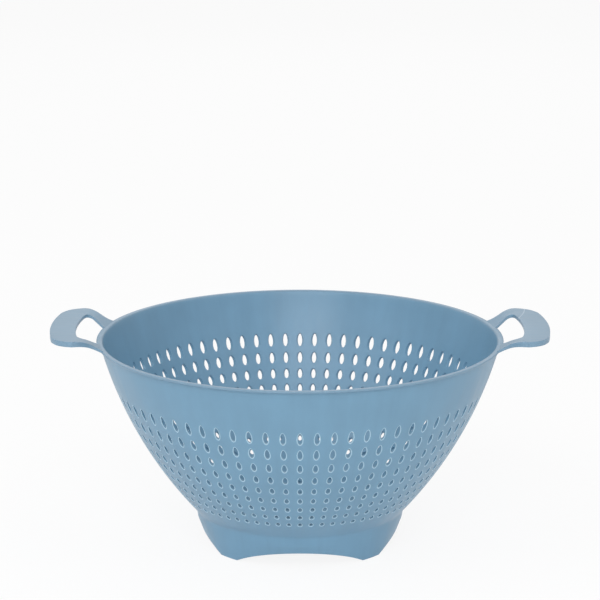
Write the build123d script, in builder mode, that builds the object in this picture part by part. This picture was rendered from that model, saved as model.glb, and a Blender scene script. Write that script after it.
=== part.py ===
from build123d import *
import os
from math import cos, pi, radians, sin, sqrt, tan

# A round colander with a slotted bowl, a flanged rim, two loop handles and an
# arched foot ring. Lengths are in millimetres. The ground is at height zero,
# the bowl's axis is Z, the handles lie on X.

os.makedirs("parts", exist_ok=True)

# The rim and the mouth
rim_radius = 123.5
rim_overhang = 2.9
rim_thickness = 1.8
rim_rounding = 0.5
mouth_rounding = 0.9
bowl_height = 126.4

# The bowl's wall, one long shallow arc from the rim down to the floor
wall_thickness = 2.0
bulge_radius = 252.0
wall_base_radius = 66.05
wall_base_height = 22.5

# The slots, in level rows that step inward by the same amount each time
slot_rows = 9
slot_columns = 72
top_row_radius = 110.9
bottom_row_radius = 73.6
top_slot_width = 3.4
bottom_slot_width = 2.7
bridge_between_rows = 3.7
plain_margin = 1.1

# The floor and its rings of drain slots, each ring with one spoke set more
floor_height = 20.5
floor_thickness = 2.0
floor_corner_rounding = 5.0
drain_rings = 4
drain_spokes = 12
drain_slot_length = 7.0
drain_slot_width = 2.8
inner_drain_radius = 17.5
drain_ring_pitch = 11.5

# The foot ring and the four arches cut in it
foot_top_radius = 61.9
foot_bottom_radius = 60.3
foot_thickness = 2.0
foot_height = 14.5
foot_fillet = 9.0
foot_inner_fillet = 1.0
arch_half_width = 37.5
arch_height = 9.1
arch_centre_depth = 11.3

# The handles, dished plates that rise from the rim's flange and level out
handle_reach = 150.5
handle_crest = 7.1
handle_slope = 28.0
handle_root_radius = 120.9
handle_thickness = 2.0
handle_edge_depth = 3.2
handle_edge_width = 2.2
handle_half_width = 41.6
shoulder_reach = 132.0
neck_half_width = 36.2
neck_reach = 122.5
dish_rounding = 22.0
corner_rounding = 12.0
side_rounding = 8.0
root_rounding = 5.0

# The finger gap between each handle and the rim
gap_reach = 135.1
gap_root_half_width = 20.8
gap_flare = 46.0
gap_rounding = 3.4

# Heights and radii that follow from the sizes above
rim_underside = bowl_height - rim_thickness
wall_top_radius = rim_radius - rim_overhang
floor_underside = floor_height - floor_thickness
wall_rise = rim_underside - wall_base_height
wall_run = wall_top_radius - wall_base_radius
wall_chord = sqrt(wall_rise**2 + wall_run**2)
centre_offset = sqrt(bulge_radius**2 - (wall_chord / 2) ** 2)
centre_radius = (wall_top_radius + wall_base_radius) / 2 - centre_offset * wall_rise / wall_chord
centre_height = (rim_underside + wall_base_height) / 2 + centre_offset * wall_run / wall_chord
inner_bulge_radius = bulge_radius - wall_thickness


def wall_radius(height, bulge):
    return centre_radius + sqrt(bulge**2 - (centre_height - height) ** 2)


def wall_height(radius):
    return centre_height - sqrt(bulge_radius**2 - (radius - centre_radius) ** 2)


def foot_radius(height):
    return foot_bottom_radius + (foot_top_radius - foot_bottom_radius) * height / foot_height


# The slotted rows, from the top one down
row_step = (top_row_radius - bottom_row_radius) / (slot_rows - 1)
row_radii = [top_row_radius - row * row_step for row in range(slot_rows)]
row_heights = [wall_height(radius) for radius in row_radii]
row_pitches = []
for radius in row_radii:
    rise = wall_height(radius + row_step / 2) - wall_height(radius - row_step / 2)
    row_pitches.append(sqrt(rise**2 + row_step**2))
slot_lengths = [pitch - bridge_between_rows for pitch in row_pitches]
width_step = (top_slot_width - bottom_slot_width) / (slot_rows - 1)
slot_widths = [top_slot_width - row * width_step for row in range(slot_rows)]
band_height = row_heights[0] + slot_lengths[0] / 2 + plain_margin

# The whole wall's section, cut into bands by each piece
with BuildSketch(Plane.XZ) as wall_section:
    with Locations((centre_radius, centre_height)):
        Circle(bulge_radius)
        Circle(inner_bulge_radius, mode=Mode.SUBTRACT)

# The foot's whole section, drafted so that it narrows towards the ground
with BuildSketch(Plane.XZ) as foot_section:
    with BuildLine():
        outer_top = foot_radius(floor_height)
        inner_top = outer_top - foot_thickness
        inner_bottom = foot_bottom_radius - foot_thickness
        outer_side = [(foot_bottom_radius, 0), (outer_top, floor_height)]
        Polyline(*outer_side, (inner_top, floor_height), (inner_bottom, 0), close=True)
    make_face()

# The rim, a flat flange with a rounded mouth
with BuildPart() as rim:
    with BuildSketch(Plane.XZ) as rim_section:
        add(wall_section.sketch)
        with Locations((0, rim_underside)):
            Rectangle(rim_radius, rim_thickness, align=(Align.MIN, Align.MIN), mode=Mode.INTERSECT)
        with Locations((wall_top_radius - wall_thickness / 2, rim_underside)):
            flange_width = rim_overhang + wall_thickness / 2
            Rectangle(flange_width, rim_thickness, align=(Align.MIN, Align.MIN))
        mouth_corner = Vector(wall_radius(bowl_height, inner_bulge_radius), bowl_height)
        fillet(rim_section.vertices().sort_by_distance(mouth_corner)[0], mouth_rounding)
        outer_corners = rim_section.vertices().group_by(Axis.X)[-1]
        fillet(outer_corners, rim_rounding)
    revolve(axis=Axis.Z)
rim.part.label = "rim"

# The plain band of the wall under the rim
with BuildPart() as upper_band:
    with BuildSketch(Plane.XZ):
        add(wall_section.sketch)
        with Locations((0, band_height)):
            band_rise = rim_underside - band_height
            Rectangle(rim_radius, band_rise, align=(Align.MIN, Align.MIN), mode=Mode.INTERSECT)
    revolve(axis=Axis.Z)
upper_band.part.label = "upper_band"

# The slotted wall, each slot square to the wall where it is cut
with BuildPart() as strainer_wall:
    with BuildSketch(Plane.XZ):
        add(wall_section.sketch)
        with Locations((0, wall_base_height)):
            strainer_rise = band_height - wall_base_height
            Rectangle(rim_radius, strainer_rise, align=(Align.MIN, Align.MIN), mode=Mode.INTERSECT)
    revolve(axis=Axis.Z)
    for radius, height, length, width in zip(row_radii, row_heights, slot_lengths, slot_widths):
        out = (radius - centre_radius) / bulge_radius
        down = (height - centre_height) / bulge_radius
        start_radius = radius + wall_thickness * out
        start_height = height + wall_thickness * down
        slot_planes = []
        for column in range(slot_columns):
            turn = 2 * pi * column / slot_columns
            origin = (start_radius * cos(turn), start_radius * sin(turn), start_height)
            along_row = (-sin(turn), cos(turn), 0)
            outward = (out * cos(turn), out * sin(turn), down)
            slot_planes.append(Plane(origin=origin, x_dir=along_row, z_dir=outward))
        with BuildSketch(*slot_planes):
            with BuildLine():
                slot_side = ThreePointArc((0, -length / 2), (width / 2, 0), (0, length / 2))
                mirror(slot_side, about=Plane.YZ)
            make_face()
        extrude(amount=-wall_thickness * 3, mode=Mode.SUBTRACT)
strainer_wall.part.label = "strainer_wall"

# The floor with the knuckle that joins wall and foot
with BuildPart() as base_floor:
    with BuildSketch(Plane.XZ) as floor_section:
        inner_corner = Vector(wall_radius(floor_height, inner_bulge_radius), floor_height)
        outer_corner = Vector(foot_top_radius, wall_height(foot_top_radius))
        add(wall_section.sketch)
        with Locations((0, outer_corner.Y)):
            knuckle_rise = wall_base_height - outer_corner.Y
            Rectangle(rim_radius, knuckle_rise, align=(Align.MIN, Align.MIN), mode=Mode.INTERSECT)
        add(foot_section.sketch)
        with Locations((0, foot_height)):
            skirt_rise = wall_base_height - foot_height
            Rectangle(rim_radius, skirt_rise, align=(Align.MIN, Align.MIN), mode=Mode.INTERSECT)
        with Locations((0, floor_underside)):
            Rectangle(inner_corner.X, floor_thickness, align=(Align.MIN, Align.MIN))
        hollow_top = foot_radius(floor_underside) - foot_thickness
        hollow_bottom = foot_radius(foot_height) - foot_thickness
        with BuildLine():
            hollow_rim = [(hollow_top, floor_underside), (hollow_bottom, foot_height)]
            Polyline((0, floor_underside), *hollow_rim, (0, foot_height), close=True)
        make_face(mode=Mode.SUBTRACT)
        under_corner = Vector(hollow_top, floor_underside)
        fillet(floor_section.vertices().sort_by_distance(inner_corner)[0], floor_corner_rounding)
        fillet(floor_section.vertices().sort_by_distance(outer_corner)[0], foot_fillet)
        fillet(floor_section.vertices().sort_by_distance(under_corner)[0], foot_inner_fillet)
    revolve(axis=Axis.Z)
    for ring in range(drain_rings):
        with BuildSketch(Plane.XY.offset(foot_height)):
            with BuildLine():
                slot_end = drain_slot_length / 2
                drain_side = ThreePointArc((-slot_end, 0), (0, drain_slot_width / 2), (slot_end, 0))
                mirror(drain_side, about=Plane.XZ)
            drain_slot = make_face(mode=Mode.PRIVATE)
            with PolarLocations(inner_drain_radius + ring * drain_ring_pitch, (ring + 1) * drain_spokes):
                add(drain_slot)
        extrude(amount=foot_height, mode=Mode.SUBTRACT)
base_floor.part.label = "base_floor"

# The foot ring, open at the front, the back and both sides
with BuildPart() as foot_ring:
    with BuildSketch(Plane.XZ):
        add(foot_section.sketch)
        Rectangle(rim_radius, foot_height, align=(Align.MIN, Align.MIN), mode=Mode.INTERSECT)
    revolve(axis=Axis.Z)
    arch_rise = arch_height + arch_centre_depth
    arch_span = arch_half_width / sqrt(1 - (arch_centre_depth / arch_rise) ** 2)
    with BuildSketch(Plane.XZ, Plane.YZ):
        with Locations((0, -arch_centre_depth)):
            Ellipse(arch_span, arch_rise)
    extrude(amount=foot_top_radius * 2, both=True, mode=Mode.SUBTRACT)
foot_ring.part.label = "foot_ring"

# The handle's section, its notch shaped to sit on the rim's outer corner
handle_top = bowl_height + handle_crest
root_low = rim_underside + rim_rounding
top_bend = handle_root_radius + handle_crest / tan(radians(handle_slope))
low_bend = top_bend + handle_thickness * tan(radians(handle_slope / 2))
with BuildSketch(Plane.XZ) as handle_section:
    with BuildLine():
        edge_bottom = handle_top - handle_edge_depth
        root_start = (handle_root_radius, bowl_height)
        top_line = Polyline(root_start, (top_bend, handle_top), (handle_reach, handle_top))
        low_line = Polyline((handle_reach, edge_bottom), (low_bend, edge_bottom), (rim_radius, root_low))
        Line(top_line @ 1, low_line @ 0)
        Polyline(low_line @ 1, (rim_radius, bowl_height), top_line @ 0)
    make_face()
    top_corner = Vector(top_bend, handle_top)
    low_corner = Vector(low_bend, edge_bottom)
    rim_corner = Vector(rim_radius, bowl_height)
    fillet(handle_section.vertices().sort_by_distance(top_corner)[0], dish_rounding)
    fillet(handle_section.vertices().sort_by_distance(low_corner)[0], dish_rounding)
    fillet(handle_section.vertices().sort_by_distance(rim_corner)[0], rim_rounding)

# The hollow under the plate, which leaves a deeper edge all round
with BuildSketch(Plane.XZ) as hollow_section:
    with BuildLine():
        plate_bottom = handle_top - handle_thickness
        plate_line = [(handle_reach, plate_bottom), (low_bend, plate_bottom)]
        Polyline(*plate_line, (rim_radius, root_low), (handle_reach, root_low), close=True)
    make_face()
    hollow_corner = Vector(low_bend, plate_bottom)
    fillet(hollow_section.vertices().sort_by_distance(hollow_corner)[0], dish_rounding)

# The handle seen from above, wide at the grip and narrow at the neck
with BuildSketch() as handle_outline:
    with BuildLine():
        neck = (neck_reach, neck_half_width)
        shoulder = (shoulder_reach, handle_half_width)
        side = Polyline((0, neck_half_width), neck, shoulder, (handle_reach, handle_half_width))
        mirror(side, about=Plane.XZ)
        Line((handle_reach, handle_half_width), (handle_reach, -handle_half_width))
        Line((0, neck_half_width), (0, -neck_half_width))
    make_face()
    Circle(handle_reach, mode=Mode.INTERSECT)
    fillet(handle_outline.vertices().group_by(Axis.X)[-1], corner_rounding)
    for side_x, side_y in (neck, shoulder):
        for corner in (Vector(side_x, side_y), Vector(side_x, -side_y)):
            fillet(handle_outline.vertices().sort_by_distance(corner)[0], side_rounding)
    Circle(handle_root_radius)
    root_x = sqrt(handle_root_radius**2 - neck_half_width**2)
    for corner in (Vector(root_x, neck_half_width), Vector(root_x, -neck_half_width)):
        fillet(handle_outline.vertices().sort_by_distance(corner)[0], root_rounding)
    Circle(handle_root_radius, mode=Mode.SUBTRACT)

# The finger gap seen from above
with BuildSketch() as finger_gap:
    with BuildLine():
        gap_slope = tan(radians(gap_flare))
        gap_root_x = sqrt(rim_radius**2 - gap_root_half_width**2)
        gap_apex = gap_root_x - gap_root_half_width / gap_slope
        gap_far_half_width = (handle_reach - gap_apex) * gap_slope
        gap_far_corner = (handle_reach, gap_far_half_width)
        Polyline((gap_apex, 0), gap_far_corner, (handle_reach, -gap_far_half_width), close=True)
    make_face()
    Circle(gap_reach, mode=Mode.INTERSECT)
    fillet(finger_gap.vertices().group_by(Axis.X)[-1], gap_rounding)

# The solid hollow, kept clear of the handle's outer edge
with BuildPart() as handle_hollow:
    with BuildSketch(Plane.XZ):
        add(hollow_section.sketch)
    revolve(axis=Axis.Z)
    with BuildSketch(Plane.XY):
        add(handle_outline.sketch)
        offset(amount=-handle_edge_width)
    extrude(amount=handle_top, mode=Mode.INTERSECT)

# The right handle
with BuildPart() as right_handle:
    with BuildSketch(Plane.XZ):
        add(handle_section.sketch)
    revolve(axis=Axis.Z)
    with BuildSketch(Plane.XY):
        add(handle_outline.sketch)
        add(finger_gap.sketch, mode=Mode.SUBTRACT)
    extrude(amount=handle_top, mode=Mode.INTERSECT)
    add(handle_hollow.part, mode=Mode.SUBTRACT)
right_handle.part.label = "right_handle"

# The left handle, the same shape on the other side
with BuildPart() as left_handle:
    mirror(right_handle.part, about=Plane.YZ)
left_handle.part.label = "left_handle"

pieces = (rim, upper_band, strainer_wall, base_floor, foot_ring, right_handle, left_handle)
for piece in pieces:
    export_step(piece.part, f"parts/{piece.part.label}.step")
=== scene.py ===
import math
import bmesh
import bpy
from mathutils import Matrix, Vector


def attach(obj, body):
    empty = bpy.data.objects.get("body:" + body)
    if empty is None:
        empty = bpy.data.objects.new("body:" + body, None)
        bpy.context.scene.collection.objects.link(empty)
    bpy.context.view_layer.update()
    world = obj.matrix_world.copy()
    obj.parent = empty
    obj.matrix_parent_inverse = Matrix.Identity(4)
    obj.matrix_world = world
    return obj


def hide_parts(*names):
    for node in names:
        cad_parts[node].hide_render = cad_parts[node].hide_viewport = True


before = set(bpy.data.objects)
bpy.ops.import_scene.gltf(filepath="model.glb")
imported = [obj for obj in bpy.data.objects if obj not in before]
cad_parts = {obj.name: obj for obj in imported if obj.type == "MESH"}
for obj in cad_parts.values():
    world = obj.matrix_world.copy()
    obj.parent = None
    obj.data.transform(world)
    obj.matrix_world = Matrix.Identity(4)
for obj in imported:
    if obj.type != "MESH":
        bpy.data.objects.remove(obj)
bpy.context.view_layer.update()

# A colander moulded in one blue plastic: slotted bowl with rim, floor and
# arched foot, and two dished loop handles. Sizes are in millimetres, and only the
# camera and the studio are placed in metres.
mm = 0.001

bowl = {
    "rimTop": 126.4, "rimRadius": 122.9, "rimThickness": 1.45, "rimOverhang": 2.1,
    # the next row's depth sets how far down from the rim's top the painted sheen colour reaches
    "rimRounding": 1.0, "mouthRounding": 1.5, "underRimRounding": 0.3, "paintedSheenDepth": 0.9,
    "wall": 1.8, "arcRadius": 252.0, "baseRadius": 66.05, "baseHeight": 22.5,
    "weld": 0.002, "levelError": 0.01,
}


# The wall is one long arc turned about the bowl's axis
def arcCentre():
    top = bowl["rimTop"] - bowl["rimThickness"]
    rise = top - bowl["baseHeight"]
    topRadius = bowl["rimRadius"] - bowl["rimOverhang"]
    run = topRadius - bowl["baseRadius"]
    chord = math.hypot(rise, run)
    away = math.sqrt(bowl["arcRadius"] ** 2 - (chord / 2) ** 2)
    radius = (topRadius + bowl["baseRadius"]) / 2 - away * rise / chord
    height = (top + bowl["baseHeight"]) / 2 + away * run / chord
    return radius, height


centreRadius, centreHeight = arcCentre()


def wallPoint(drop, depth):
    # drop is the angle below the arc's centre, depth goes in from the outer skin
    reach = bowl["arcRadius"] - depth
    return centreRadius + reach * math.cos(drop), centreHeight - reach * math.sin(drop)


def dropAtRadius(radius):
    return math.acos((radius - centreRadius) / bowl["arcRadius"])


def dropAtHeight(height, depth):
    return math.asin((centreHeight - height) / (bowl["arcRadius"] - depth))


def wallStretch(startDrop, endDrop, depth, steps):
    points = []
    for step in range(steps + 1):
        points.append(wallPoint(startDrop + (endDrop - startDrop) * step / steps, depth))
    return points


def spinAround(bm, geom, turns, count, duplicate):
    bmesh.ops.spin(
        bm, geom=geom, cent=(0, 0, 0), axis=(0, 0, 1), dvec=(0, 0, 0),
        angle=turns * 2 * math.pi, steps=count, use_merge=not duplicate, use_duplicate=duplicate)


def repeatAround(bm, count):
    whole = bm.verts[:] + bm.edges[:] + bm.faces[:]
    spinAround(bm, whole, (count - 1) / count, count - 1, True)


def newVerts(result):
    return [item for item in result["geom"] if isinstance(item, bmesh.types.BMVert)]


def turnedProfile(points, roundings):
    # a chain of edges whose numbered corners are rounded, spun into a skin
    bm = bmesh.new()
    chain = [bm.verts.new((radius * mm, 0, height * mm)) for radius, height in points]
    for first, second in zip(chain, chain[1:]):
        bm.edges.new((first, second))
    for corner, radius in [(chain[index], radius) for index, radius in roundings.items()]:
        arms = [edge.other_vert(corner).co - corner.co for edge in corner.link_edges]
        bend = math.pi - arms[0].angle(arms[1])
        bmesh.ops.bevel(
            bm, geom=[corner], offset=radius * mm * math.tan(bend / 2), offset_type="OFFSET",
            segments=5, profile=0.5, affect="VERTICES", material=-1)
    spinAround(bm, bm.verts[:] + bm.edges[:], 1, 2 * slots["columns"], False)
    return bm


def joinInto(bm, part):
    # every skin is made alone, then added and welded to the rest
    mesh = bpy.data.meshes.new("part")
    part.to_mesh(mesh)
    part.free()
    bm.from_mesh(mesh)
    bpy.data.meshes.remove(mesh)


def finishPiece(bm, name, materials, replaced):
    unclosed = [edge for edge in bm.edges if not edge.is_manifold or not edge.is_contiguous]
    volume = round(bm.calc_volume() / mm ** 3)
    print(f"{name}: {len(bm.faces)} faces, {len(unclosed)} bad edges, {volume} mm3")
    mesh = bpy.data.meshes.new(name)
    bm.to_mesh(mesh)
    bm.free()
    for material in materials:
        mesh.materials.append(material)
    piece = bpy.data.objects.new(name, mesh)
    bpy.context.scene.collection.objects.link(piece)
    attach(piece, "root")
    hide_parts(*replaced)


# Slots
slots = {
    "rows": 9, "columns": 72, "topRadius": 110.9, "bottomRadius": 73.6,
    "topWidth": 4.0, "bottomWidth": 3.3, "bridge": 3.1, "egg": 0.07, "pointedTip": 0.1,
    "bevelWidth": 0.55, "bevelDepth": 0.14, "flare": 0.9, "dish": 0.1,
}


def ringEdges(verts):
    inside = set(verts)
    edges = {edge for vert in verts for edge in vert.link_edges}
    return [edge for edge in edges if edge.verts[0] in inside and edge.verts[1] in inside]


def scaleFlat(bm, verts, along, across):
    bmesh.ops.scale(bm, verts=verts, vec=(along, across, 1))


def makeSlotCell(radius, drop, startDrop, endDrop, width, length):
    # a tube of five rings: outer frame, opening, bevel, throat, inner frame
    bm = bmesh.new()
    ring = bmesh.ops.create_circle(bm, cap_ends=False, segments=12, radius=1)["verts"]
    for level in range(4):
        extruded = bmesh.ops.extrude_edge_only(bm, edges=ringEdges(ring))
        ring = newVerts(extruded)
        bmesh.ops.translate(bm, verts=ring, vec=(0, 0, 1))
        # the bevel band gets material 1, a paler copy of the plastic: a painted highlight of the light
        # the rounded slot edges catch
        for item in extruded["geom"]:
            if isinstance(item, bmesh.types.BMFace):
                item.material_index = 1 if level == 1 else 0
    for edge in bm.edges:
        heights = {round(vert.co.z) for vert in edge.verts}
        if heights in ({1}, {2}, {3}):
            edge.smooth = False
    # shaped flat in millimetres, x along the row and y down the wall, then bent onto it
    halfWidth = math.pi / slots["columns"] * radius
    shrink = 2 * slots["bevelWidth"]
    widths = [0, width, width - shrink, width - shrink + 2 * slots["flare"], 0]
    lengths = [0, length, length - shrink, length - shrink + slots["flare"], 0]
    depths = [0, 0, slots["bevelDepth"], bowl["wall"] - slots["dish"], bowl["wall"]]
    for vert in bm.verts:
        across, along, level = vert.co.x, vert.co.y, round(vert.co.z)
        if level in (0, 4):
            across = math.copysign(halfWidth, across) if abs(across) > 0.1 else 0
            vertDrop = startDrop + (endDrop - startDrop) * (2 + round(2 * along)) / 4
        else:  # broadest below the middle, with a soft point on top
            taper = (1 + slots["egg"] * along) * (1 - slots["pointedTip"] * max(0, -along))
            across *= taper * widths[level] / 2
            vertDrop = drop + along * lengths[level] / 2 / bowl["arcRadius"]
        reach, height = wallPoint(vertDrop, depths[level])
        turn = across / radius
        vert.co = (reach * math.cos(turn) * mm, reach * math.sin(turn) * mm, height * mm)
    return bm


def makeSlottedWall():
    column = bmesh.new()
    step = (slots["topRadius"] - slots["bottomRadius"]) / (slots["rows"] - 1)
    endRadii = [slots["topRadius"] - (row - 0.5) * step for row in range(slots["rows"] + 1)]
    rowEnds = [dropAtRadius(radius) for radius in endRadii]
    for row in range(slots["rows"]):
        radius = slots["topRadius"] - row * step
        share = row / (slots["rows"] - 1)
        width = slots["topWidth"] + (slots["bottomWidth"] - slots["topWidth"]) * share
        length = (rowEnds[row + 1] - rowEnds[row]) * bowl["arcRadius"] - slots["bridge"]
        drop = dropAtRadius(radius)
        joinInto(column, makeSlotCell(radius, drop, rowEnds[row], rowEnds[row + 1], width, length))
    repeatAround(column, slots["columns"])
    return column, rowEnds[0], rowEnds[-1]


def makeRimAndBand(topDrop):
    top = bowl["rimTop"]
    under = top - bowl["rimThickness"]
    rimRadius = bowl["rimRadius"]
    outer = wallStretch(topDrop, dropAtHeight(under, 0), 0, 6)
    inner = wallStretch(dropAtHeight(top, bowl["wall"]), topDrop, bowl["wall"], 7)
    corner = len(outer) - 1
    return turnedProfile(
        outer + [(rimRadius, under), (rimRadius, top)] + inner,
        {corner: bowl["underRimRounding"], corner + 1: bowl["rimRounding"],
         corner + 2: bowl["rimRounding"], corner + 3: bowl["mouthRounding"]})


# Floor and foot
base = {
    "floorTop": 20.5, "floorThickness": 2.0, "floorCorner": 5.0,
    "footTopRadius": 63.0, "footBottomRadius": 60.7, "footHeight": 14.5,
    "footWall": 2.0, "footFillet": 5.0, "underCorner": 1.0, "padRounding": 0.45,
    "archHalfWidth": 37.5, "archHeight": 9.1, "archDepth": 11.3,
    "padTurn": 38.5, "padColumn": 37.5,
    "rings": 4, "spokes": 12, "innerRing": 17.5, "ringPitch": 11.5,
    "drainLength": 7.0, "drainWidth": 2.8, "drainBevel": 0.35,
}


def footRadius(height):
    spread = base["footTopRadius"] - base["footBottomRadius"]
    return base["footBottomRadius"] + spread * height / base["footHeight"]


def archUnder(x, y):
    # how high the nearest arch stands over the ground at this place
    across = min(abs(x), abs(y))
    rise = base["archHeight"] + base["archDepth"]
    span = base["archHalfWidth"] / math.sqrt(1 - (base["archDepth"] / rise) ** 2)
    return max(0, rise * math.sqrt(max(0, 1 - (across / span) ** 2)) - base["archDepth"])


def makeFoot(bottomDrop):
    meetHeight = base["floorTop"]
    for step in range(30):  # where the arc meets the foot's outer side
        meetRadius = footRadius(meetHeight)
        meetHeight = wallPoint(dropAtRadius(meetRadius), 0)[1]
    outer = wallStretch(bottomDrop, dropAtRadius(meetRadius), 0, 5)
    levels = [base["footHeight"] * share for share in (1, 0.8, 0.6, 0.4, 0.2)]
    outside = [(footRadius(level), level) for level in levels]
    inside = [(footRadius(level) - base["footWall"], level) for level in reversed(levels)]
    underside = base["floorTop"] - base["floorThickness"]
    innerFoot = footRadius(0) - base["footWall"]
    under = [(footRadius(underside) - base["footWall"], underside),
             (innerFoot - 2 * base["underCorner"], underside)]
    points = outer + outside + [(footRadius(0), 0), (innerFoot, 0)] + inside + under
    ground = len(outer) + len(outside)
    bm = turnedProfile(points, {
        len(outer) - 1: base["footFillet"], ground: base["padRounding"],
        ground + 1: base["padRounding"], len(points) - 2: base["underCorner"]})
    # the columns nearest the arches' ends move onto them, then the arches are lifted
    for vert in bm.verts:
        share = vert.co.z / mm / base["footHeight"]
        if share > 1:
            continue
        turn = math.degrees(math.atan2(vert.co.y, vert.co.x)) % 90
        if abs(min(turn, 90 - turn) - base["padColumn"]) < 0.1:
            shift = (base["padTurn"] - base["padColumn"]) * (1 if turn < 45 else -1) * (1 - share)
            vert.co = Matrix.Rotation(math.radians(shift), 3, "Z") @ vert.co
        vert.co.z += archUnder(vert.co.x / mm, vert.co.y / mm) * (1 - share) * mm
    return bm


def makeDrainSlots(ring):
    # one slot's walls, then copies of it round the ring
    bm = bmesh.new()
    circle = bmesh.ops.create_circle(bm, cap_ends=False, segments=12, radius=mm)["verts"]
    scaleFlat(bm, circle, base["drainLength"] / 2, base["drainWidth"] / 2)
    opening = ringEdges(circle)
    bevelVerts = newVerts(bmesh.ops.extrude_edge_only(bm, edges=opening))
    shrink = 2 * base["drainBevel"]
    scaleFlat(bm, bevelVerts, 1 - shrink / base["drainLength"], 1 - shrink / base["drainWidth"])
    bmesh.ops.translate(bm, verts=bevelVerts, vec=(0, 0, -base["drainBevel"] * mm))
    throatVerts = newVerts(bmesh.ops.extrude_edge_only(bm, edges=ringEdges(bevelVerts)))
    throatDepth = base["floorThickness"] - base["drainBevel"]
    bmesh.ops.translate(bm, verts=throatVerts, vec=(0, 0, -throatDepth * mm))
    for edge in opening + ringEdges(throatVerts):
        edge.smooth = False
    place = ((base["innerRing"] + ring * base["ringPitch"]) * mm, 0, base["floorTop"] * mm)
    bmesh.ops.translate(bm, verts=bm.verts, vec=place)
    repeatAround(bm, (ring + 1) * base["spokes"])
    return bm


def makeBowl(materials):
    bm, topDrop, bottomDrop = makeSlottedWall()
    joinInto(bm, makeRimAndBand(topDrop))
    joinInto(bm, makeFoot(bottomDrop))
    # the inner skin below the slots, down to the floor
    top = base["floorTop"]
    floorDrop = dropAtHeight(top, bowl["wall"])
    inner = wallStretch(bottomDrop, floorDrop, bowl["wall"], 5)
    points = inner + [(inner[-1][0] - base["floorCorner"], top)]
    joinInto(bm, turnedProfile(points, {len(inner) - 1: base["floorCorner"]}))
    for ring in range(base["rings"]):
        joinInto(bm, makeDrainSlots(ring))
    bmesh.ops.remove_doubles(bm, verts=bm.verts, dist=bowl["weld"] * mm)
    # both flat skins of the floor are filled round their slots
    borders = [edge for edge in bm.edges if edge.is_boundary]
    for height in (top, top - base["floorThickness"]):
        level = [edge for edge in borders
                 if abs(edge.verts[0].co.z - height * mm) < bowl["levelError"] * mm]
        bmesh.ops.triangle_fill(
            bm, use_beauty=True, use_dissolve=False, edges=level, normal=(0, 0, 1))
    bmesh.ops.recalc_face_normals(bm, faces=bm.faces)
    for face in bm.faces:
        face.smooth = True
    # the top of the rim takes the same greyed colour as the handles, a painted sheen of the white
    # backdrop
    for face in bm.faces:
        if face.calc_center_median().z > (bowl["rimTop"] - bowl["paintedSheenDepth"]) * mm:
            face.material_index = 2
    nodes = ["rim", "upper_band", "strainer_wall", "base_floor", "foot_ring"]
    finishPiece(bm, "bowl", materials, nodes)


# Handles
handle = {
    "reach": 150.45, "crest": 7.05, "slope": 30.3, "rootRadius": 121.6, "startRadius": 120.3,
    "plate": 2.0, "edgeDepth": 3.15, "lipWidth": 2.2, "lipDraft": 0.4, "dishRounding": 22.0,
    "halfWidth": 42.0, "shoulder": 132.0, "neck": 122.5, "neckHalfWidth": 36.2,
    "cornerRounding": 14.0, "sideRounding": 8.0, "rootRounding": 7.0,
    "gapReach": 135.1, "gapHalfWidth": 20.8, "gapFlare": 46.0, "gapRounding": 2.6,
    "edgeRounding": 0.95, "rootFlare": 11, "gapInset": 2.5, "gapStep": 4, "shoulderStep": 6,
    "lipStart": 122, "lipRun": 12, "rootRise": 0.5, "rootSink": 0.2,
    "outerAheadShare": 0.4, "innerAheadShare": 0.5, "cornerShare": 0.8, "gapSearch": 0.01,
    "columns": 10, "arcSteps": 24, "tipSteps": 14,
    "roundedBend": 0.6, "sharpBend": 0.9,  # these two in radians
}


def bentRise(radius, start, bendRadius, level, rounding):
    # a straight rise from start that bends into a level run
    slope = math.atan2(level - start[1], bendRadius - start[0])
    tangent = rounding * math.tan(slope / 2)
    if radius <= bendRadius - tangent * math.cos(slope):
        return start[1] + (radius - start[0]) * math.tan(slope)
    if radius >= bendRadius + tangent:
        return level
    fromCentre = bendRadius + tangent - radius
    return level - rounding + math.sqrt(max(0, rounding ** 2 - fromCentre ** 2))


def roundedPath(corners):
    # a fine chain of points along straight runs whose corners are arcs
    segments = 8
    path = [Vector(corners[0][:2])]
    for index in range(1, len(corners) - 1):
        before, here, after = (Vector(corner[:2]) for corner in corners[index - 1:index + 2])
        rounding = corners[index][2]
        back = (before - here).normalized()
        ahead = (after - here).normalized()
        half = back.angle(ahead) / 2
        tangent = rounding / math.tan(half)
        centre = here + (back + ahead).normalized() * rounding / math.sin(half)
        first = here + back * tangent - centre
        last = here + ahead * tangent - centre
        sweep = math.atan2(first.cross(last), first.dot(last))
        for step in range(segments + 1):
            path.append(centre + Matrix.Rotation(sweep * step / segments, 2) @ first)
    path.append(Vector(corners[-1][:2]))
    return path


def pathLengths(path):
    lengths = [0]
    for first, second in zip(path, path[1:]):
        lengths.append(lengths[-1] + (second - first).length)
    return lengths


def pointAt(path, lengths, share):
    want = share * lengths[-1]
    for index in range(1, len(path)):
        if lengths[index] >= want:
            run = lengths[index] - lengths[index - 1]
            return path[index - 1].lerp(path[index], (want - lengths[index - 1]) / run if run else 0)
    return path[-1].copy()


def nearestShare(path, lengths, place):
    steps = 400
    shares = [step / steps for step in range(steps + 1)]
    return min(shares, key=lambda share: (pointAt(path, lengths, share) - Vector(place)).length)


def arcPoints(radius, startTurn, endTurn, steps):
    turns = [startTurn + (endTurn - startTurn) * step / steps for step in range(steps + 1)]
    return [(radius * math.cos(turn), radius * math.sin(turn)) for turn in turns]


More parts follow.
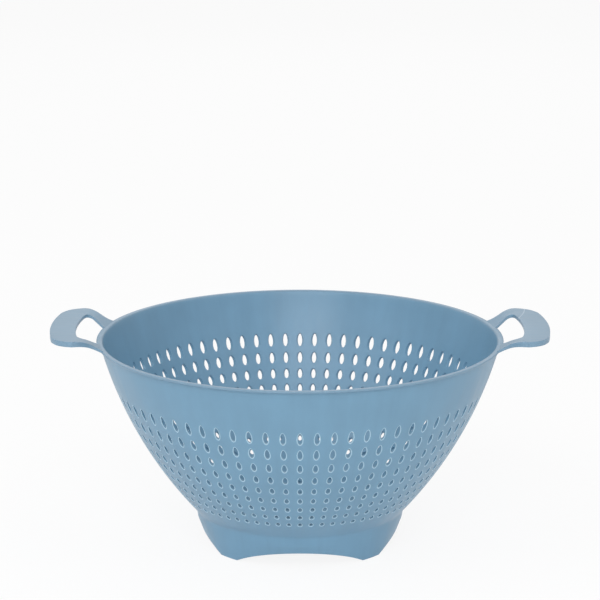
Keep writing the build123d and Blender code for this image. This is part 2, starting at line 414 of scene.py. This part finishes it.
def makeHandle(name, side, materials, replaced):
    h = handle
    rimTop = bowl["rimTop"]
    crest = rimTop + h["crest"]
    # outer path from the rim to the tip's middle, then the gap's path beside it
    rootX = math.sqrt(h["startRadius"] ** 2 - h["neckHalfWidth"] ** 2)
    flare = math.asin((h["neckHalfWidth"] + h["rootFlare"]) / h["startRadius"])
    flareStart = (h["startRadius"] * math.cos(flare), h["startRadius"] * math.sin(flare))
    cornerX = math.sqrt(h["reach"] ** 2 - h["halfWidth"] ** 2)
    cornerTurn = math.asin(h["halfWidth"] / h["reach"])
    outerCorners = [
        (*flareStart, 0), (rootX, h["neckHalfWidth"], h["rootRounding"]),
        (h["neck"], h["neckHalfWidth"], h["sideRounding"]),
        (h["shoulder"], h["halfWidth"], h["sideRounding"]),
        (cornerX, h["halfWidth"], h["cornerRounding"]),
        (*arcPoints(h["reach"], cornerTurn * h["outerAheadShare"], 0, 1)[0], 0),
    ]
    outer = roundedPath(outerCorners)[:-1]
    tipStart = math.atan2(outer[-1].y, outer[-1].x)
    outer[-1] = Vector(arcPoints(h["reach"], tipStart, 0, 1)[0])
    outer += [Vector(point) for point in arcPoints(h["reach"], tipStart, 0, h["arcSteps"])[1:]]
    slope = math.tan(math.radians(h["gapFlare"]))
    gapX = math.sqrt(bowl["rimRadius"] ** 2 - h["gapHalfWidth"] ** 2)
    startX = math.sqrt(h["startRadius"] ** 2 - (h["gapHalfWidth"] - h["gapInset"]) ** 2)
    gapStart = (startX, h["gapHalfWidth"] - (gapX - startX) * slope)
    gapCornerX, gapCornerY = gapX, h["gapHalfWidth"]
    while math.hypot(gapCornerX, gapCornerY) < h["gapReach"]:
        gapCornerX += h["gapSearch"]
        gapCornerY += h["gapSearch"] * slope
    gapTurn = math.atan2(gapCornerY, gapCornerX)
    beyond = arcPoints(h["gapReach"], gapTurn * h["innerAheadShare"], 0, 1)[0]
    gapCorners = [(*gapStart, 0), (gapCornerX, gapCornerY, h["gapRounding"]), (*beyond, 0)]
    inner = roundedPath(gapCorners)[:-1]
    innerTip = math.atan2(inner[-1].y, inner[-1].x)
    inner += [Vector(point) for point in arcPoints(h["gapReach"], innerTip, 0, h["arcSteps"])[1:]]
    outerLengths, innerLengths = pathLengths(outer), pathLengths(inner)
    # places that face each other across the strip
    gapStep = h["gapStep"]
    pairs = [
        ((h["neck"], h["neckHalfWidth"]), (gapX, h["gapHalfWidth"]), 9),
        ((h["shoulder"], h["halfWidth"]), (gapX + gapStep, h["gapHalfWidth"] + gapStep * slope), 6),
        ((h["shoulder"] + h["shoulderStep"], h["halfWidth"]), inner[1], 4),
        (arcPoints(h["reach"], cornerTurn * h["cornerShare"], 0, 1)[0], inner[9], 8),
    ]
    knots, counts = [(0, 0)], []
    for outerPlace, innerPlace, steps in pairs:
        knots.append((nearestShare(outer, outerLengths, outerPlace),
                      nearestShare(inner, innerLengths, innerPlace)))
        counts.append(steps)
    knots.append((1, 1))
    counts.append(h["tipSteps"])
    stations = [(0, 0)]
    for first, second, steps in zip(knots, knots[1:], counts):
        for step in range(1, steps + 1):
            stations.append(tuple(a + (b - a) * step / steps for a, b in zip(first, second)))
    half = len(stations) - 1
    across = [0, h["lipWidth"], h["lipWidth"] + h["lipDraft"]]
    columns = h["columns"]
    bm = bmesh.new()
    order = bm.verts.layers.int.new("column")
    grid = bmesh.ops.create_grid(bm, x_segments=2 * half, y_segments=columns, size=1)["verts"]
    topBend = h["rootRadius"] + h["crest"] / math.tan(math.radians(h["slope"]))
    lowBend = topBend + h["plate"] * math.tan(math.radians(h["slope"] / 2))
    for vert in grid:
        along = round((vert.co.x + 1) * half)
        column = round((vert.co.y + 1) / 2 * columns)
        mirrored = -1 if along > half else 1
        outerShare, innerShare = stations[min(along, 2 * half - along)]
        outerPoint = pointAt(outer, outerLengths, outerShare)
        innerPoint = pointAt(inner, innerLengths, innerShare)
        width = (innerPoint - outerPoint).length
        if column < 3:
            inward = across[column]
        else:
            inward = across[2] + (width - across[2]) * (column - 2) / (columns - 2)
        place = outerPoint.lerp(innerPoint, inward / width)
        height = bentRise(place.length, (h["rootRadius"], rimTop), topBend, crest, h["dishRounding"])
        vert.co = (place.x * mm, place.y * mirrored * mm, height * mm)
        vert[order] = column
    # the underside is the top pushed down, deeper in the lip along the outer edge
    topFaces = bm.faces[:]
    lowVerts = newVerts(bmesh.ops.duplicate(bm, geom=bm.verts[:] + bm.edges[:] + topFaces))
    lowRoot = rimTop - bowl["rimThickness"] + h["rootRise"]
    for vert in lowVerts:
        radius = vert.co.xy.length / mm
        lip = min(1, max(0, (radius - h["lipStart"]) / h["lipRun"]))
        depth = h["plate"] + ((h["edgeDepth"] - h["plate"]) * lip if vert[order] < 2 else 0)
        start = (bowl["rimRadius"], lowRoot)
        height = bentRise(radius, start, lowBend, crest - depth, h["dishRounding"])
        vert.co.z = max(height, lowRoot - h["rootSink"]) * mm
    borders = [edge for edge in bm.edges if edge.is_boundary]
    bmesh.ops.bridge_loops(bm, edges=borders)
    bmesh.ops.recalc_face_normals(bm, faces=bm.faces)
    # every long edge of the strip is rounded over
    longEdges = [edge for edge in bm.edges if edge.verts[0][order] == edge.verts[1][order]
                 and edge.verts[0][order] in (0, columns) and edge.calc_face_angle(0) > h["roundedBend"]]
    bmesh.ops.bevel(
        bm, geom=longEdges, offset=h["edgeRounding"] * mm, offset_type="OFFSET", segments=4,
        profile=0.5, affect="EDGES", material=-1, clamp_overlap=True)
    if side < 0:
        bmesh.ops.transform(bm, matrix=Matrix.Scale(-1, 4, (1, 0, 0)), verts=bm.verts)
    bmesh.ops.recalc_face_normals(bm, faces=bm.faces)
    for face in bm.faces:
        face.smooth = True
    for edge in bm.edges:
        if edge.calc_face_angle(0) > h["sharpBend"]:
            edge.smooth = False
    finishPiece(bm, name, materials, [replaced])


# Plastic
plastic = {
    # the slot bevels' colour below is a painted highlight, paler than the plastic
    "colour": (0.16, 0.312, 0.446), "slotPaintedHighlightColour": (0.38, 0.57, 0.69),
    # the handles' and rim top's colour is the blue plastic greyed into a painted sheen
    "paintedSheenColour": (0.18, 0.302, 0.415), "roughness": 0.37, "satinRange": 0.06, "ior": 1.49,
    "mottleScale": 42, "mottle": 0.035, "flow": 0.03, "noiseLow": 0.3, "noiseHigh": 0.7,
    "streaksAround": 14, "streaksUp": 18, "handleStreaks": (28, 520, 60), "streakRoughness": 0.6,
    "knitCentre": (82.6, 43.3), "knitRadius": 57.2, "knitWidth": 0.4, "knitShare": 0.8,
    "knitColour": (0.5, 0.6, 0.7),
    "grainScale": 1100, "grainDepth": 0.012, "grainStrength": 0.5,
    "waveScale": 60, "waveDepth": 0.05, "waveStrength": 0.4,
}


def mathNode(nodes, kind, operation):
    node = nodes.new(kind)
    node.operation = operation
    return node


def noiseNode(nodes, scale, detail):
    node = nodes.new("ShaderNodeTexNoise")
    node.inputs["Scale"].default_value = scale
    node.inputs["Detail"].default_value = detail
    return node


def aroundMiddle(nodes, middle, spread):
    # turns a noise into values that sway round the middle
    node = nodes.new("ShaderNodeMapRange")
    node.inputs["From Min"].default_value = plastic["noiseLow"]
    node.inputs["From Max"].default_value = plastic["noiseHigh"]
    node.inputs["To Min"].default_value = middle - spread
    node.inputs["To Max"].default_value = middle + spread
    return node


def bumpNode(nodes, strength, depth):
    node = nodes.new("ShaderNodeBump")
    node.inputs["Strength"].default_value = strength
    node.inputs["Distance"].default_value = depth * mm
    return node


def addFlowMarks(nodes, links, place, kind):
    # the melt's faint streaks: up the bowl from its middle, or out along a handle
    if kind == "bowl":
        parts = nodes.new("ShaderNodeSeparateXYZ")
        level = nodes.new("ShaderNodeCombineXYZ")
        around = mathNode(nodes, "ShaderNodeVectorMath", "NORMALIZE")
        spread = mathNode(nodes, "ShaderNodeVectorMath", "SCALE")
        spread.inputs["Scale"].default_value = plastic["streaksAround"]
        height = nodes.new("ShaderNodeCombineXYZ")
        rise = mathNode(nodes, "ShaderNodeMath", "MULTIPLY")
        rise.inputs[1].default_value = plastic["streaksUp"]
        streakPlace = mathNode(nodes, "ShaderNodeVectorMath", "ADD")
        links.new(place.outputs["Object"], parts.inputs["Vector"])
        links.new(parts.outputs["X"], level.inputs["X"])
        links.new(parts.outputs["Y"], level.inputs["Y"])
        links.new(level.outputs["Vector"], around.inputs[0])
        links.new(around.outputs["Vector"], spread.inputs[0])
        links.new(parts.outputs["Z"], rise.inputs[0])
        links.new(rise.outputs["Value"], height.inputs["Z"])
        links.new(spread.outputs["Vector"], streakPlace.inputs[0])
        links.new(height.outputs["Vector"], streakPlace.inputs[1])
        source = streakPlace.outputs["Vector"]
    else:
        stretch = nodes.new("ShaderNodeMapping")
        stretch.inputs["Scale"].default_value = plastic["handleStreaks"]
        links.new(place.outputs["Object"], stretch.inputs["Vector"])
        source = stretch.outputs["Vector"]
    streaks = noiseNode(nodes, 1, 3)
    streaks.inputs["Roughness"].default_value = plastic["streakRoughness"]
    links.new(source, streaks.inputs["Vector"])
    return streaks


def addKnitLine(nodes, links, place, colour):
    # the pale curve where two fronts of the melt met, across one arm of the right handle
    offset = mathNode(nodes, "ShaderNodeVectorMath", "SUBTRACT")
    offset.inputs[1].default_value = (*[value * mm for value in plastic["knitCentre"]], 0)
    flat = mathNode(nodes, "ShaderNodeVectorMath", "MULTIPLY")
    flat.inputs[1].default_value = (1, 1, 0)
    reach = mathNode(nodes, "ShaderNodeVectorMath", "LENGTH")
    away = mathNode(nodes, "ShaderNodeMath", "SUBTRACT")
    away.inputs[1].default_value = plastic["knitRadius"] * mm
    distance = mathNode(nodes, "ShaderNodeMath", "ABSOLUTE")
    line = nodes.new("ShaderNodeMapRange")
    line.inputs["From Max"].default_value = plastic["knitWidth"] * mm
    line.inputs["To Min"].default_value = plastic["knitShare"]
    line.inputs["To Max"].default_value = 0
    pale = nodes.new("ShaderNodeMix")
    pale.data_type = "RGBA"
    pale.inputs["B"].default_value = (*plastic["knitColour"], 1)
    links.new(place.outputs["Object"], offset.inputs[0])
    links.new(offset.outputs["Vector"], flat.inputs[0])
    links.new(flat.outputs["Vector"], reach.inputs[0])
    links.new(reach.outputs["Value"], away.inputs[0])
    links.new(away.outputs["Value"], distance.inputs[0])
    links.new(distance.outputs["Value"], line.inputs["Value"])
    links.new(line.outputs["Result"], pale.inputs["Factor"])
    links.new(colour, pale.inputs["A"])
    return pale.outputs["Result"]


def makePlastic(name, colour, kind):
    material = bpy.data.materials.new(name)
    material.use_nodes = True
    nodes, links = material.node_tree.nodes, material.node_tree.links
    shader = nodes["Principled BSDF"]
    shader.inputs["IOR"].default_value = plastic["ior"]
    place = nodes.new("ShaderNodeTexCoord")
    # soft clouds in the pigment, then the flow marks over them
    mottle = noiseNode(nodes, plastic["mottleScale"], 5)
    links.new(place.outputs["Object"], mottle.inputs["Vector"])
    clouds = nodes.new("ShaderNodeValToRGB")
    darker, lighter = clouds.color_ramp.elements
    darker.position, lighter.position = plastic["noiseLow"], plastic["noiseHigh"]
    darker.color = (*[channel * (1 - plastic["mottle"]) for channel in colour], 1)
    lighter.color = (*[channel * (1 + plastic["mottle"]) for channel in colour], 1)
    links.new(mottle.outputs["Fac"], clouds.inputs["Fac"])
    streaks = addFlowMarks(nodes, links, place, kind)
    shade = aroundMiddle(nodes, 1, plastic["flow"])
    links.new(streaks.outputs["Fac"], shade.inputs["Value"])
    tint = mathNode(nodes, "ShaderNodeVectorMath", "SCALE")
    links.new(clouds.outputs["Color"], tint.inputs[0])
    links.new(shade.outputs["Result"], tint.inputs["Scale"])
    colour = tint.outputs["Vector"]
    if kind == "handle":
        colour = addKnitLine(nodes, links, place, colour)
    links.new(colour, shader.inputs["Base Color"])
    # the satin is a little duller along the streaks
    satin = aroundMiddle(nodes, plastic["roughness"], plastic["satinRange"])
    links.new(streaks.outputs["Fac"], satin.inputs["Value"])
    links.new(satin.outputs["Result"], shader.inputs["Roughness"])
    # slow waves of the skin as it shrinks, and the mould's fine grain on top
    waves = noiseNode(nodes, plastic["waveScale"], 1)
    grain = noiseNode(nodes, plastic["grainScale"], 3)
    waveBump = bumpNode(nodes, plastic["waveStrength"], plastic["waveDepth"])
    grainBump = bumpNode(nodes, plastic["grainStrength"], plastic["grainDepth"])
    links.new(place.outputs["Object"], waves.inputs["Vector"])
    links.new(place.outputs["Object"], grain.inputs["Vector"])
    links.new(waves.outputs["Fac"], waveBump.inputs["Height"])
    links.new(grain.outputs["Fac"], grainBump.inputs["Height"])
    links.new(waveBump.outputs["Normal"], grainBump.inputs["Normal"])
    links.new(grainBump.outputs["Normal"], shader.inputs["Normal"])
    return material


bowlPlastic = makePlastic("bowlPlastic", plastic["colour"], "bowl")
# a paler copy of the plastic for the slot bevels: painted highlight
slotPaintedHighlight = makePlastic("slotPaintedHighlightPlastic", plastic["slotPaintedHighlightColour"], "bowl")
# greyed copies of the plastic for the rim top and the handles: painted sheen
rimPaintedSheenPlastic = makePlastic("rimPaintedSheenPlastic", plastic["paintedSheenColour"], "bowl")
handlePaintedSheenPlastic = makePlastic("handlePaintedSheenPlastic", plastic["paintedSheenColour"], "handle")
makeBowl([bowlPlastic, slotPaintedHighlight, rimPaintedSheenPlastic])
makeHandle("rightHandle", 1, [handlePaintedSheenPlastic], "right_handle")
makeHandle("leftHandle", -1, [handlePaintedSheenPlastic], "left_handle")
print("pieces made")

# Camera at the photograph's angle
cameraView = {"place": (0, -1.2701, 0.4549), "pitch": 13.55, "lens": 129.9}
camera = bpy.data.objects.new("camera", bpy.data.cameras.new("camera"))
bpy.context.scene.collection.objects.link(camera)
camera.location = cameraView["place"]
camera.rotation_euler = (math.radians(90 - cameraView["pitch"]), 0, 0)
camera.data.lens = cameraView["lens"]
camera.data.sensor_width = 36
camera.data.clip_start = 0.05
bpy.context.scene.camera = camera

# Studio, in metres and watts
lamps = {
    "keyLamp": {"power": 22, "place": (-0.2, -2.13, 1.36), "size": 1.6, "aim": 0.08},
    "leftLamp": {"power": 11, "place": (-1.6, -1.0, 1.7), "size": 1.5, "aim": 0.08},
    "rightLamp": {"power": 5, "place": (1.6, -1.0, 1.7), "size": 1.5, "aim": 0.08},
    "backLamp": {"power": 3.5, "place": (0, 2.3, 1.3), "size": 1.5, "aim": 0.12},
}
for name, values in lamps.items():
    lamp = bpy.data.lights.new(name, "AREA")
    lamp.shape = "DISK"
    lamp.size = values["size"]
    lamp.energy = values["power"]
    holder = bpy.data.objects.new(name, lamp)
    holder.location = values["place"]
    aim = Vector((0, 0, values["aim"])) - Vector(values["place"])
    holder.rotation_euler = aim.to_track_quat("-Z", "Y").to_euler()
    bpy.context.scene.collection.objects.link(holder)

studio = {
    "sky": 0.62, "floor": (0.93, 0.93, 0.93), "floorSize": 6, "floorRoughness": 0.9,
    "floorGlow": 0.88,
}


def shownRays(nodes, links):
    # 1 for rays from the camera and in reflections, and 0 for the rest
    kind = nodes.new("ShaderNodeLightPath")
    shown = mathNode(nodes, "ShaderNodeMath", "ADD")
    shown.use_clamp = True
    links.new(kind.outputs["Is Camera Ray"], shown.inputs[0])
    links.new(kind.outputs["Is Glossy Ray"], shown.inputs[1])
    return shown.outputs["Value"]


# The backdrop is white, and the sky that lights the scene is dimmer
world = bpy.data.worlds.new("studio")
bpy.context.scene.world = world
world.use_nodes = True
worldNodes, worldLinks = world.node_tree.nodes, world.node_tree.links
sky = worldNodes["Background"]
sky.inputs["Color"].default_value = (1, 1, 1, 1)
sky.inputs["Strength"].default_value = studio["sky"]
seen = worldNodes.new("ShaderNodeBackground")
seen.inputs["Strength"].default_value = 1
pick = worldNodes.new("ShaderNodeMixShader")
worldLinks.new(shownRays(worldNodes, worldLinks), pick.inputs["Fac"])
worldLinks.new(sky.outputs["Background"], pick.inputs[1])
worldLinks.new(seen.outputs["Background"], pick.inputs[2])
worldLinks.new(pick.outputs["Shader"], worldNodes["World Output"].inputs["Surface"])

# The floor takes the object's shadow, and a glow lifts it close to the backdrop's white
floorBm = bmesh.new()
bmesh.ops.create_grid(floorBm, x_segments=1, y_segments=1, size=studio["floorSize"])
floorMesh = bpy.data.meshes.new("floor")
floorBm.to_mesh(floorMesh)
floorBm.free()
floor = bpy.data.objects.new("floor", floorMesh)
bpy.context.scene.collection.objects.link(floor)
floorPaint = bpy.data.materials.new("paleFloor")
floorPaint.use_nodes = True
floorNodes, floorLinks = floorPaint.node_tree.nodes, floorPaint.node_tree.links
floorShader = floorNodes["Principled BSDF"]
floorShader.inputs["Base Color"].default_value = (*studio["floor"], 1)
floorShader.inputs["Roughness"].default_value = studio["floorRoughness"]
glow = floorNodes.new("ShaderNodeEmission")
glow.inputs["Color"].default_value = (1, 1, 1, 1)
glowMix = floorNodes.new("ShaderNodeMixShader")
glowShare = mathNode(floorNodes, "ShaderNodeMath", "MULTIPLY")
glowShare.inputs[1].default_value = studio["floorGlow"]
floorLinks.new(shownRays(floorNodes, floorLinks), glowShare.inputs[0])
floorLinks.new(glowShare.outputs["Value"], glowMix.inputs["Fac"])
floorLinks.new(floorShader.outputs["BSDF"], glowMix.inputs[1])
floorLinks.new(glow.outputs["Emission"], glowMix.inputs[2])
floorLinks.new(glowMix.outputs["Shader"], floorNodes["Material Output"].inputs["Surface"])
floorMesh.materials.append(floorPaint)

bpy.context.scene.view_settings.view_transform = "Standard"
print("studio set")
